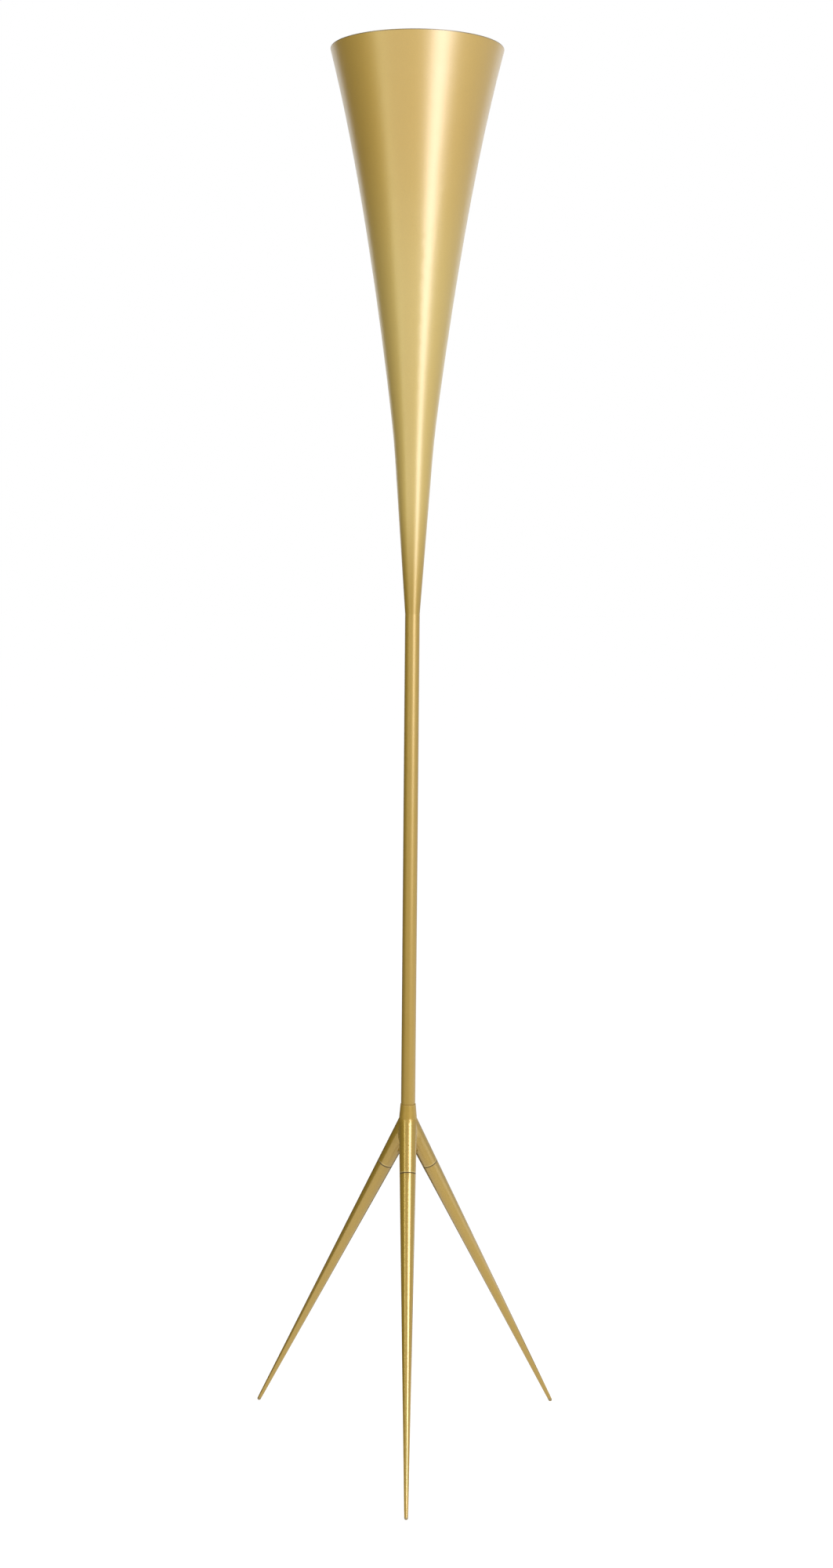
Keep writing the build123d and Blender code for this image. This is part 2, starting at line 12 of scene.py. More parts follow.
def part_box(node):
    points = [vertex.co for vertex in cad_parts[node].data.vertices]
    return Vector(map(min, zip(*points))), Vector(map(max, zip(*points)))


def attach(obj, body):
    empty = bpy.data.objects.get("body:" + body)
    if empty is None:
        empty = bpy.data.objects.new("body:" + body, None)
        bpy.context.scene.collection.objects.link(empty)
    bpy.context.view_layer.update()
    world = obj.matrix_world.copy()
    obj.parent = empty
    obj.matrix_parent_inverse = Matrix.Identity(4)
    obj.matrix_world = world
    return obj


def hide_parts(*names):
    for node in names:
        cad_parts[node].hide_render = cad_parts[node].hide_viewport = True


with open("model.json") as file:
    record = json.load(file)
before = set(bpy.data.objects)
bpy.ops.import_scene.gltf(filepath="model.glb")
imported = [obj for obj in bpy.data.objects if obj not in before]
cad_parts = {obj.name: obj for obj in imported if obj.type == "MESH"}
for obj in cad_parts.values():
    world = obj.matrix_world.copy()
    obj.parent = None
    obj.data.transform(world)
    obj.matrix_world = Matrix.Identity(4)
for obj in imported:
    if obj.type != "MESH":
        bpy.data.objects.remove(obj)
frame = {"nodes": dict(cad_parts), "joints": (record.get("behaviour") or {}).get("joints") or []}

bl_info = {
    "name": "Trumpet floor lamp",
    "version": (1, 0, 0),
    "blender": (4, 5, 0),
    "location": "View3D > Sidebar > Lamp",
    "description": "Dresses a tripod floor lamp with a trumpet uplight in satin gold",
    "category": "Object",
}

NODES = frame["nodes"]
JOINTS = {joint["name"]: joint for joint in frame["joints"]}
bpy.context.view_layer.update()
LEG_SIDES = ("front", "right", "left")
UP = Vector((0, 0, 1))
FULL_TURN = 2 * math.pi
QUARTER_TURN = math.pi / 2
WHITE = (1.0, 1.0, 1.0)
FILM_HEIGHT = 36.0
SIDEBAR_TAB = "Lamp"


def setting(kind, **limits):
    """A kind of property, whose members each have a name, a description and a default."""

    def make(name, description, default):
        return kind(name=name, description=description, default=default, **limits)

    return make


length = setting(FloatProperty, unit="LENGTH", precision=5)
focal_length = setting(FloatProperty, unit="CAMERA")
angle = setting(FloatProperty, subtype="ANGLE")
level = setting(FloatProperty, min=0.0)
share = setting(FloatProperty, subtype="FACTOR", min=0.0, max=1.0)
count = setting(IntProperty, min=12)
colour = setting(FloatVectorProperty, subtype="COLOR", size=3, min=0.0, max=1.0)


class LampView(PropertyGroup):
    """Where the camera stands and how it looks."""

    distance: length("Distance", "From the lamp's axis to the camera, along the floor", 2.8226)
    height: length("Height", "Camera above the floor", 1.2818)
    turn: angle("Turn", "Camera's place round the lamp's axis", math.radians(-0.5))
    yaw: angle("Yaw", "Camera turned away from the axis", math.radians(0.156))
    pitch: angle("Pitch", "Camera tipped down", math.radians(6.864))
    roll: angle("Roll", "Camera leaned over", math.radians(0.525))
    lens: focal_length("Lens", "Focal length of the lens", 47.346)


class LampStage(PropertyGroup):
    """The floor, the white surroundings and the lights."""

    floor_size: length("Floor size", "Half the width of the floor", 30.0)
    floor_drop: length("Floor drop", "Floor below the feet", 0.0002)
    floor_colour: colour("Floor", "Paper on the floor", (0.62, 0.62, 0.62))
    floor_glow: share("Floor glow", "White that the floor shows by itself", 0.74)
    surround: share("Surround", "Light from all round on matt surfaces", 0.42)
    key_level: level("Key", "Brightness of the tall soft box on the right", 5.9)
    key_angle: angle("Key angle", "Soft box's place to the right of the camera", math.radians(34))
    key_lean: angle("Key lean", "Soft box's top leaned to the right", math.radians(16))
    key_width: length("Key width", "Soft box, side to side", 1.0)
    fill_level: level("Fill", "Brightness of the wide soft box on the left", 1.78)
    fill_angle: angle("Fill angle", "Wide soft box's place to the left of the camera", math.radians(24))
    fill_width: length("Fill width", "Wide soft box, side to side", 2.4)
    light_low: length("Light foot", "Soft boxes' lower edge above the floor", 0.6)
    light_high: length("Light top", "Soft boxes' upper edge above the floor", 3.0)
    light_distance: length("Light distance", "Soft boxes from the lamp's axis", 2.7)


class LampColours(PropertyGroup):
    """The colours of the finishes."""

    # The horn's paler gold below its flare is painted light, and the flare's darker gold is painted shade.
    rim_gold: colour("Rim gold", "Lacquer on the horn's flare", (0.565, 0.360, 0.054))
    horn_gold: colour("Horn gold", "Lacquer on the horn below its flare", (0.612, 0.436, 0.104))
    stand_gold: colour("Stand gold", "Lacquer on the pole, hub and legs", (0.50, 0.315, 0.030))
    # Painted shade in the joints' gaps and round the horn's lip, and a painted highlight on an arm's eased
    # edge beside a joint.
    seam_shade: colour("Seam", "Dark line left in the joints", (0.10, 0.068, 0.028))
    painted_edge_highlight: colour("Edge", "Paler line along an arm's eased edge", (0.84, 0.66, 0.28))
    scuff: colour("Scuff", "Worn lacquer on the feet", (0.33, 0.27, 0.17))
    zinc: colour("Zinc", "Plated steel", (0.60, 0.60, 0.58))
    zinc_bloom: colour("Zinc bloom", "Yellowed plating", (0.58, 0.54, 0.42))
    brass: colour("Brass", "Bare brass", (0.69, 0.51, 0.24))
    tarnish: colour("Tarnish", "Darkened brass", (0.36, 0.24, 0.10))
    aluminium: colour("Aluminium", "Bare aluminium", (0.76, 0.76, 0.75))
    dull_aluminium: colour("Dull aluminium", "Clouds on the centring plate", (0.64, 0.64, 0.63))
    cap_stain: colour("Cap stain", "Dull metal in the bulb cap's thread", (0.42, 0.40, 0.36))
    rubber: colour("Rubber", "Cord bushing", (0.022, 0.022, 0.023))
    black_plastic: colour("Black plastic", "Lampholder", (0.030, 0.030, 0.031))
    ivory: colour("Ivory", "Lampholder's core", (0.80, 0.76, 0.66))
    white_plastic: colour("White plastic", "Bulb's housing", (0.84, 0.84, 0.82))
    opal: colour("Opal", "Bulb's dome", (0.90, 0.89, 0.86))
    pale_opal: colour("Pale opal", "Clouds in the bulb's dome", (0.93, 0.93, 0.91))
    black_glass: colour("Black glass", "Bulb's glass bead", (0.012, 0.012, 0.016))
    glass_flow: colour("Glass flow", "Flow lines in the glass bead", (0.035, 0.034, 0.040))
    brown: colour("Brown", "Live core", (0.20, 0.09, 0.035))
    blue: colour("Blue", "Neutral core", (0.05, 0.15, 0.42))
    green: colour("Green", "Driver board", (0.03, 0.20, 0.08))
    track: colour("Track", "Tracks on the driver board", (0.09, 0.36, 0.15))
    solder: colour("Solder", "Tinned pads on the driver board", (0.70, 0.69, 0.66))
    board_white: colour("Board white", "Board under the chips", (0.86, 0.86, 0.84))
    board_ring: colour("Board ring", "White board where copper lies under it", (0.74, 0.72, 0.66))
    phosphor: colour("Phosphor", "Light-emitting face of a chip", (0.86, 0.68, 0.10))
    pale_phosphor: colour("Pale phosphor", "Grains in a chip's face", (0.93, 0.78, 0.22))
    chip_frame: colour("Chip frame", "White frame of a chip", (0.88, 0.88, 0.86))


class LampSizes(PropertyGroup):
    """The small sizes that the solids leave out."""

    round_steps: count("Round steps", "Faces round a turned piece", 48)
    stud_pitch: length("Stud pitch", "Rise of a leg stud's thread in a turn", 0.0015)
    stud_depth: length("Stud depth", "Depth of a leg stud's thread", 0.0009)
    stud_chamfer: length("Stud chamfer", "Chamfer on a leg stud's ends", 0.0008)
    rod_steps: count("Rod steps", "Faces round the rod", 24)
    rod_pitch: length("Rod pitch", "Rise of the rod's thread in a turn", 0.001)
    rod_depth: length("Rod depth", "Depth of the rod's thread", 0.0006)
    rod_bore: length("Rod bore", "Radius of the hole through the rod", 0.0035)
    rod_thread: length("Rod thread", "Length of thread below the centring plate", 0.030)
    nut_height: length("Nut height", "Height of a nut on the rod", 0.005)
    nut_edge: length("Nut edge", "Bevel on a nut's edges", 0.0005)
    cap_pitch: length("Cap pitch", "Rise of the bulb cap's thread in a turn", 0.003629)
    cap_depth: length("Cap depth", "Depth of the bulb cap's thread", 0.0012)
    cap_skirt: length("Cap skirt", "Smooth part at each end of the bulb cap", 0.0030)
    cap_shoulder: length("Cap shoulder", "Taper at the foot of the bulb cap", 0.0018)
    chip_ring: length("Chip ring", "Radius of the ring of chips in the bulb", 0.015)
    sleeve_wall: length("Sleeve wall", "Wall of the lampholder's sleeve", 0.0025)
    sleeve_lip: length("Sleeve lip", "Height of the lip inside the sleeve's mouth", 0.0025)
    sleeve_room: length("Sleeve room", "Gap between the sleeve's lip and the bulb's cap", 0.00025)
    sleeve_edge: length("Sleeve edge", "Round on the sleeve's edges", 0.0007)
    sleeve_ribs: count("Sleeve ribs", "Grip ribs round the sleeve", 36)
    rib_foot: length("Rib foot", "Smooth part of the sleeve below its grip ribs", 0.008)
    rib_head: length("Rib head", "Smooth part of the sleeve above its grip ribs", 0.009)
    rib_groove: length("Rib groove", "Depth of the grooves between grip ribs", 0.0005)
    rib_flank: length("Rib flank", "Width of a groove's sloping side", 0.00035)
    gland_bore: length("Gland bore", "Radius of the hole in the cord bushing", 0.0035)
    gland_flange: length("Gland flange", "Height of the cord bushing's flange", 0.004)
    gland_stem: length("Gland stem", "Radius of the cord bushing's stem", 0.005)
    gland_round: length("Gland round", "Round on the cord bushing's flange", 0.0012)
    gland_round_middle: length("Gland round middle", "How far that round cuts in at its middle", 0.00036)


class Value:
    """A shader socket; its operators add Math nodes to the tree."""

    def __init__(self, tree, socket):
        self.tree = tree
        self.socket = socket

    def math(self, operation, *terms):
        return self.tree.add("ShaderNodeMath", {"operation": operation}, dict(enumerate(terms)))

    def __add__(self, other):
        return self.math("ADD", self, other)

    def __radd__(self, other):
        return self.math("ADD", other, self)

    def __sub__(self, other):
        return self.math("SUBTRACT", self, other)

    def __rsub__(self, other):
        return self.math("SUBTRACT", other, self)

    def __mul__(self, other):
        return self.math("MULTIPLY", self, other)

    def __rmul__(self, other):
        return self.math("MULTIPLY", other, self)

    def __abs__(self):
        return self.math("ABSOLUTE", self)

    def larger(self, other):
        return self.math("MAXIMUM", self, other)

    def step(self, low, high):
        """Rises smoothly from 0 to 1 as the value goes from low to high."""
        limits = {"Value": self, "From Min": low, "From Max": high}
        return self.tree.add("ShaderNodeMapRange", {"interpolation_type": "SMOOTHSTEP"}, limits)


# A Mix node has sockets of the same names for each kind of data, so those for colours go by number.
MIX_FACTOR = 0
MIX_FIRST = 6
MIX_SECOND = 7
MIX_RESULT = 2


class ShaderTree:
    """The nodes of one material or of the world."""

    def __init__(self, owner):
        owner.use_nodes = True
        self.owner = owner
        self.nodes = owner.node_tree.nodes
        self.links = owner.node_tree.links
        self.nodes.clear()

    def add(self, kind, settings=None, inputs=None, output=0):
        """Adds a node, sets its settings and then its sockets, and gives one of its outputs, if any."""
        node = self.nodes.new(kind)
        for name, value in (settings or {}).items():
            setattr(node, name, value)
        for name, value in (inputs or {}).items():
            socket = node.inputs[name]
            if isinstance(value, Value):
                self.links.new(value.socket, socket)
            elif socket.type == "RGBA":
                socket.default_value = (*value, 1.0)
            else:
                socket.default_value = value
        return Value(self, node.outputs[output]) if node.outputs else None

    def vector_math(self, operation, *terms, output="Vector"):
        """Maths on points and directions."""
        return self.add("ShaderNodeVectorMath", {"operation": operation}, dict(enumerate(terms)), output)

    def mix(self, factor, first, second, blend="MIX"):
        """A blend of two colours."""
        ends = {MIX_FACTOR: factor, MIX_FIRST: first, MIX_SECOND: second}
        return self.add("ShaderNodeMix", {"data_type": "RGBA", "blend_type": blend}, ends, MIX_RESULT)


SKIN_DEPTH = 0.0001


class Finish(ShaderTree):
    """The nodes of a finish, which know the point on the surface in the lamp's own frame."""

    def __init__(self, name):
        super().__init__(bpy.data.materials.new(name))
        self.place = self.add("ShaderNodeTexCoord", output="Object")

    def height(self):
        """The height above the floor."""
        return self.add("ShaderNodeSeparateXYZ", None, {"Vector": self.place}, "Z")

    def reach(self):
        """The distance from the lamp's axis."""
        flat = self.vector_math("MULTIPLY", self.place, (1, 1, 0))
        return self.vector_math("LENGTH", flat, output="Value")

    def noise(self, grain, detail, bands=1):
        """Noise with grains about this many metres across, and flatter by the number of bands."""
        place = self.place
        if bands > 1:
            place = self.add("ShaderNodeMapping", None, {"Vector": place, "Scale": (1, 1, bands)})
        pattern = {"Vector": place, "Scale": 1 / grain, "Detail": detail}
        return self.add("ShaderNodeTexNoise", None, pattern)

    def bump(self, height, strength, depth=SKIN_DEPTH):
        """A normal raised by a height."""
        relief = {"Height": height, "Strength": strength, "Distance": depth}
        return self.add("ShaderNodeBump", None, relief)

    def surface(self, **sockets):
        """Ends the material in one shader, with underscores for the spaces in its sockets' names."""
        inputs = {name.replace("_", " "): value for name, value in sockets.items()}
        shader = self.add("ShaderNodeBsdfPrincipled", None, inputs)
        self.add("ShaderNodeOutputMaterial", None, {"Surface": shader})
        return self.owner

    def bare_metal(self, tint, rough, marks, strength):
        """Ends the material in metal with the marks of a tool."""
        normal = self.bump(marks, strength)
        return self.surface(Base_Color=tint, Metallic=1.0, Roughness=rough, Normal=normal)


def leg_axis(side):
    """The unit vector out along one leg."""
    return Vector(JOINTS[f"leg_{side}_travel"]["axis"]).normalized()


def leg_apex():
    """The point where the legs' axes meet."""
    return Vector(JOINTS["leg_front_unscrew"]["pos_m"])


# Gold lacquer: how metallic, how glossy and how rough it is.
STAND_METAL = 0.36
HORN_METAL = 0.10
STAND_GLOSS = 0.65
COLLAR_GLOSS = 0.39
HORN_GLOSS = 1.0
HORN_SATIN = 0.36
POLE_SATIN = 0.40
ARM_SATIN = 0.20
COAT_SMOOTHER = 0.02
COAT_INDEX = 1.9

# Its flakes, clouds and orange peel, with grains in metres.
FLAKE_GRAIN = 0.0007
CLOUD_GRAIN = 0.035
PEEL_GRAIN = 0.0024
PEEL_DEPTH = 0.0002
PEEL_STRENGTH = 0.035
FLAKE_HEIGHT = 0.35
FLAKE_ROUGHNESS = 0.05
CLOUD_ROUGHNESS = 0.04
CLOUD_GLOSS = 0.2
DARK_FLAKE = (0.965, 0.965, 0.96)
PALE_FLAKE = (1.035, 1.035, 1.04)
FLAKE_FADE = (0.30, 0.70)

# Its fades: painted light up from the horn's neck, painted shade and a painted dark line down from its
# lip, and up the hub's collar from the legs' apex.
NECK_FADE = 0.17
RIM_FADE_LOW = 0.36
RIM_FADE_HIGH = 0.10
LIP_LINE_LOW = 0.0016
LIP_LINE_HIGH = 0.0009
LIP_SHADE = 0.8
COLLAR_FADE_LOW = -0.003
COLLAR_FADE_HIGH = 0.007

# Its painted shade in the joints' gaps and the painted highlights on the eased edges beside them, by the
# distance past the joint.
ARM_DARKNESS = 0.95
COLLAR_DARKNESS = 0.12
LINE_FADE = (0.0004, 0.0011)
LINE_ROUGHNESS = 0.2
EDGE_RISE = (-0.0027, -0.0019)
EDGE_FALL = (-0.0013, -0.0009)
EDGE_HIGHLIGHT_SHARE = 0.5

# Its wear on the feet, which grows towards the floor.
WEAR_GRAIN = 0.003
WEAR_AT_FLOOR = 0.9
WEAR_LOSS_PER_METRE = 160
WEAR_FADE = (0.62, 0.95)
WEAR_SHARE = 0.75
WEAR_ROUGHNESS = 0.2
WEAR_GLOSS_LOSS = 0.6


class Seam(NamedTuple):
    """The plane of a joint, by its direction and reach from the legs' apex, and the strength of the
    painted shade in its gap.
    """

    direction: Vector
    reach: float
    darkness: float


class Coats(NamedTuple):
    """What changes over a lacquered surface."""

    tint: Value
    rough: Value
    gloss: Value


def arm_seam(side):
    """The joint between a leg and the hub's arm."""
    axis = leg_axis(side)
    apex = leg_apex()
    reach = min((vert.co - apex).dot(axis) for vert in NODES[f"leg_{side}"].data.vertices)
    return Seam(axis, reach, ARM_DARKNESS)


def collar_seam():
    """The joint between the pole and the hub's collar."""
    return Seam(UP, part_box("pole")[0].z - leg_apex().z, COLLAR_DARKNESS)


def seam_shade_and_highlight(tree, seam, coats, colours):
    """Paints shade in a joint's gap on the lacquer, and a painted highlight on the eased edge before it.
    """
    offset = tree.vector_math("SUBTRACT", tree.place, leg_apex())
    past = tree.vector_math("DOT_PRODUCT", offset, seam.direction, output="Value") - seam.reach
    # A painted highlight on the eased edge, and painted shade in the joint's gap.
    edge = past.step(*EDGE_RISE) * (1 - past.step(*EDGE_FALL))
    line = 1 - abs(past).step(*LINE_FADE)
    tint = tree.mix(edge * seam.darkness * EDGE_HIGHLIGHT_SHARE, coats.tint, colours.painted_edge_highlight)
    return Coats(
        tint=tree.mix(line * seam.darkness, tint, colours.seam_shade),
        rough=coats.rough + line * LINE_ROUGHNESS,
        gloss=coats.gloss - line * seam.darkness * STAND_GLOSS,
    )


def foot_wear(tree, coats, colours):
    """Wears the lacquer off in patches towards the floor."""
    patches = tree.noise(grain=WEAR_GRAIN, detail=4.0)
    wear = patches + WEAR_AT_FLOOR - tree.height() * WEAR_LOSS_PER_METRE
    worn = wear.step(*WEAR_FADE)
    return Coats(
        tint=tree.mix(worn * WEAR_SHARE, coats.tint, colours.scuff),
        rough=coats.rough + worn * WEAR_ROUGHNESS,
        gloss=coats.gloss - worn * WEAR_GLOSS_LOSS,
    )


def gold_lacquer(name, colours, satin, seams=(), scuffed=False, horn=None, collar=None):
    """Satin gold lacquer: fine flakes, a faint orange peel, painted shade in the joints' gaps and painted
    highlights on the eased edges beside them.

    A horn, given by the heights of its neck and its lip, goes from the stand's deep gold to a paler gold,
    which is painted light, and then to a darker gold on its flare, which is painted shade, with a dark
    line of painted shade round its lip. A collar, given by the height of the legs' apex, grows as soft as
    the pole towards its top.
    """
    tree = Finish(name)
    height = tree.height()
    coat_satin = satin - COAT_SMOOTHER
    gold = colours.stand_gold
    metal = STAND_METAL
    gloss = STAND_GLOSS
    if horn:
        neck, lip = horn
        milk = height.step(neck, neck + NECK_FADE)
        # Painted light: the horn grows paler above its neck; painted shade: its flare is a darker gold.
        gold = tree.mix(milk, colours.stand_gold, colours.horn_gold)
        gold = tree.mix(height.step(lip - RIM_FADE_LOW, lip - RIM_FADE_HIGH), gold, colours.rim_gold)
        # Painted shade: a dark line round the lip.
        line = height.step(lip - LIP_LINE_LOW, lip - LIP_LINE_HIGH)
        gold = tree.mix(line * LIP_SHADE, gold, colours.seam_shade)
        metal = STAND_METAL + milk * (HORN_METAL - STAND_METAL)
        gloss = STAND_GLOSS + height.step(neck, lip) * (HORN_GLOSS - STAND_GLOSS)
        satin = POLE_SATIN + milk * (satin - POLE_SATIN)
    if collar:
        soft = height.step(collar + COLLAR_FADE_LOW, collar + COLLAR_FADE_HIGH)
        satin = satin + soft * (POLE_SATIN - satin)
        gloss = STAND_GLOSS + soft * (COLLAR_GLOSS - STAND_GLOSS)
    flake = tree.noise(grain=FLAKE_GRAIN, detail=1.0)
    cloud = tree.noise(grain=CLOUD_GRAIN, detail=3.0)
    peel = tree.noise(grain=PEEL_GRAIN, detail=1.0)
    shade = tree.mix(flake.step(*FLAKE_FADE), DARK_FLAKE, PALE_FLAKE)
    coats = Coats(
        tint=tree.mix(1.0, gold, shade, blend="MULTIPLY"),
        rough=satin + FLAKE_ROUGHNESS * flake + CLOUD_ROUGHNESS * cloud,
        gloss=gloss - CLOUD_GLOSS / 2 + CLOUD_GLOSS * cloud,
    )
    # Painted shade in each joint's gap, with a painted highlight on its eased edge.
    for seam in seams:
        coats = seam_shade_and_highlight(tree, seam, coats, colours)
    if scuffed:
        coats = foot_wear(tree, coats, colours)
    return tree.surface(
        Base_Color=coats.tint,
        Metallic=metal,
        Roughness=coats.rough,
        Specular_IOR_Level=1.0,
        Coat_Weight=coats.gloss,
        Coat_Roughness=coat_satin,
        Coat_IOR=COAT_INDEX,
        Normal=tree.bump(flake * FLAKE_HEIGHT + peel, strength=PEEL_STRENGTH, depth=PEEL_DEPTH),
    )


# Other finishes: patterns by the metre, and fades in metres.
RINGS_PER_METRE = 2600.0
CELLS_PER_METRE = 420.0
VALLEY_FADE = 0.0008
COPPER_FADE = (0.0016, 0.0022)
CHIP_FADE = (0.0009, 0.0012)
OPAL_SCATTER = (0.004, 0.004, 0.0035)


def zinc_plate(name, colours):
    """Bright zinc on steel, with a faint yellow bloom and turning marks."""
    tree = Finish(name)
    bloom = tree.noise(grain=0.006, detail=3.0)
    marks = tree.noise(grain=0.0012, detail=2.0, bands=12)
    tint = tree.mix(bloom.step(0.45, 0.75), colours.zinc, colours.zinc_bloom)
    rough = 0.24 + 0.18 * marks
    return tree.bare_metal(tint, rough, marks, strength=0.08)


def turned_brass(name, colours):
    """Bare brass with fine turning marks and a little tarnish."""
    tree = Finish(name)
    marks = tree.noise(grain=0.002, detail=2.0, bands=20)
    tarnish = tree.noise(grain=0.004, detail=4.0).step(0.5, 0.8)
    tint = tree.mix(tarnish * 0.6, colours.brass, colours.tarnish)
    rough = 0.22 + 0.15 * marks + 0.15 * tarnish
    return tree.bare_metal(tint, rough, marks, strength=0.1)


def spun_aluminium(name, colours):
    """Stamped aluminium with rings from the lathe."""
    tree = Finish(name)
    spread = {"W": tree.reach(), "Scale": RINGS_PER_METRE}
    rings = tree.add("ShaderNodeTexNoise", {"noise_dimensions": "1D"}, spread)
    cloud = tree.noise(grain=0.012, detail=3.0)
    tint = tree.mix(cloud.step(0.35, 0.75), colours.aluminium, colours.dull_aluminium)
    rough = 0.30 + 0.22 * rings
    return tree.bare_metal(tint, rough, rings, strength=0.12)


def cap_metal(name, colours, valley):
    """Pressed bright metal, duller in the thread's valleys, which lie at this radius."""
    tree = Finish(name)
    dull = 1 - tree.reach().step(valley, valley + VALLEY_FADE)
    spots = tree.noise(grain=0.0025, detail=4.0).step(0.55, 0.8)
    stain = (dull * 0.7).larger(spots * 0.5)
    tint = tree.mix(stain, colours.aluminium, colours.cap_stain)
    rough = 0.2 + 0.25 * stain
    return tree.surface(Base_Color=tint, Metallic=1.0, Roughness=rough)


def moulded(name, tint, satin, grain, mottle):
    """Moulded plastic or rubber: a fine grain, a slightly uneven colour and gloss."""
    tree = Finish(name)
    skin = tree.noise(grain=grain, detail=2.0)
    cloud = tree.noise(grain=0.008, detail=3.0)
    paler = tuple(part + mottle for part in tint)
    shade = tree.mix(cloud.step(0.35, 0.75), tint, paler)
    rough = satin + 0.12 * skin + 0.06 * cloud
    return tree.surface(Base_Color=shade, Roughness=rough, Normal=tree.bump(skin, strength=0.12))


def bead_glass(name, colours):
    """The bulb's dark glass bead, with faint flow lines."""
    tree = Finish(name)
    flow = tree.noise(grain=0.003, detail=4.0, bands=4)
    shade = tree.mix(flow.step(0.4, 0.7), colours.black_glass, colours.glass_flow)
    rough = 0.05 + 0.08 * flow
    return tree.surface(Base_Color=shade, Roughness=rough, Coat_Weight=0.5, Coat_Roughness=0.03)


def opal_dome(name, colours):
    """Milky diffuser plastic: soft, slightly glossy, a little light inside."""
    tree = Finish(name)
    milk = tree.noise(grain=0.010, detail=3.0)
    skin = tree.noise(grain=0.0006, detail=1.0)
    shade = tree.mix(milk.step(0.35, 0.7), colours.opal, colours.pale_opal)
    return tree.surface(
        Base_Color=shade,
        Roughness=0.22 + 0.1 * skin,
        Subsurface_Weight=0.25,
        Subsurface_Radius=OPAL_SCATTER,
        Subsurface_Scale=1.0,
        Normal=tree.bump(skin, strength=0.03),
    )


def driver_green(name, colours):
    """Green solder mask with paler tracks and tinned pads."""
    tree = Finish(name)
    cells = {"Vector": tree.place, "Scale": CELLS_PER_METRE, "Randomness": 0.35}
    borders = {"feature": "DISTANCE_TO_EDGE"}
    pads = 1 - tree.add("ShaderNodeTexVoronoi", None, cells, "Distance").step(0.20, 0.26)
    tracks = 1 - tree.add("ShaderNodeTexVoronoi", borders, cells, "Distance").step(0.04, 0.09)
    shade = tree.mix(tracks * 0.6, colours.green, colours.track)
    shade = tree.mix(pads, shade, colours.solder)
    return tree.surface(Base_Color=shade, Metallic=pads, Roughness=0.35 - 0.1 * pads)


def led_white(name, colours, ring_radius):
    """White solder mask, with a faint ring where the copper lies."""
    tree = Finish(name)
    ring = 1 - abs(tree.reach() - ring_radius).step(*COPPER_FADE)
    dust = tree.noise(grain=0.0015, detail=3.0)
    shade = tree.mix(ring * 0.5 + dust * 0.2, colours.board_white, colours.board_ring)
    rough = 0.3 + 0.15 * dust
    return tree.surface(Base_Color=shade, Roughness=rough, Normal=tree.bump(ring, strength=0.2))


def chip_phosphor(name, colours, ring_radius):
    """Yellow phosphor set in a white frame."""
    tree = Finish(name)
    edge = abs(tree.reach() - ring_radius).step(*CHIP_FADE)
    grain = tree.noise(grain=0.0002, detail=2.0)
    shade = tree.mix(grain, colours.phosphor, colours.pale_phosphor)
    shade = tree.mix(edge, shade, colours.chip_frame)
    return tree.surface(Base_Color=shade, Roughness=0.35 + 0.2 * grain)


def dress(material, *nodes):
    """Gives solids of the frame their finish."""
    for node in nodes:
        slots = NODES[node].data.materials
        slots.clear()
        slots.append(material)


MERGE_DISTANCE = 1e-6
SHARP_ANGLE = math.radians(32)
NUT_SIDES = 6
BEVEL_SEGMENTS = 2


def cleaned(bm):
    """Merges what touches and turns the faces outwards."""
    bmesh.ops.remove_doubles(bm, verts=bm.verts, dist=MERGE_DISTANCE)
    bmesh.ops.recalc_face_normals(bm, faces=bm.faces)
    return bm


def add_piece(name, bm, material, body, slot, *replaced):
    """Makes an object of a form, lets it ride on a body and stand for solids of the frame."""
    mesh = bpy.data.meshes.new(name)
    bm.to_mesh(mesh)
    bm.free()
    mesh.shade_smooth()
    mesh.set_sharp_from_angle(angle=SHARP_ANGLE)
    mesh.materials.append(material)
    piece = bpy.data.objects.new(name, mesh)
    bpy.context.scene.collection.objects.link(piece)
    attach(piece, body)
    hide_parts(*replaced)


def everything(bm):
    """All that a form is made of."""
    return bm.verts[:] + bm.edges[:] + bm.faces[:]


def vertices(parts):
    """The vertices among the parts that an operator gives back."""
    return [part for part in parts if isinstance(part, bmesh.types.BMVert)]


def open_rim(bm, height):
    """The open edges that lie at a height."""
    near = 10 * MERGE_DISTANCE
    return [edge for edge in bm.edges if edge.is_boundary and abs(edge.verts[0].co.z - height) < near]


def spun(bm, outline, steps, rise=0.0):
    """Spins an outline a full turn about the lamp's axis, closed or with a rise at each step."""
    bmesh.ops.spin(
        bm, geom=outline, axis=UP, dvec=UP * rise, angle=FULL_TURN, steps=steps, use_merge=not rise
    )


def turned(section, steps):
    """A ring turned about the lamp's axis from the (radius, height) corners of its closed section."""
    bm = bmesh.new()
    corners = [bm.verts.new((radius, 0, height)) for radius, height in section]
    edges = [bm.edges.new(pair) for pair in zip(corners, corners[1:] + corners[:1])]
    spun(bm, corners + edges, steps)
    return cleaned(bm)


# The shapes of threads, as (share of the depth, share of the pitch) over one turn.
V_THREAD = ((1.0, 0.0), (1.0, 0.12), (0.0, 0.45), (0.0, 0.55), (1.0, 0.88), (1.0, 1.0))
WAVE_STEPS = 10
ROUND_THREAD = tuple(
    (0.5 - 0.5 * math.cos(FULL_TURN * step / WAVE_STEPS), step / WAVE_STEPS)
    for step in range(WAVE_STEPS + 1)
)


class Thread(NamedTuple):
    """A screw thread: its outer radius, depth and rise in a turn, the faces round it and its shape."""

    crest: float
    depth: float
    pitch: float
    steps: int
    shape: tuple = V_THREAD


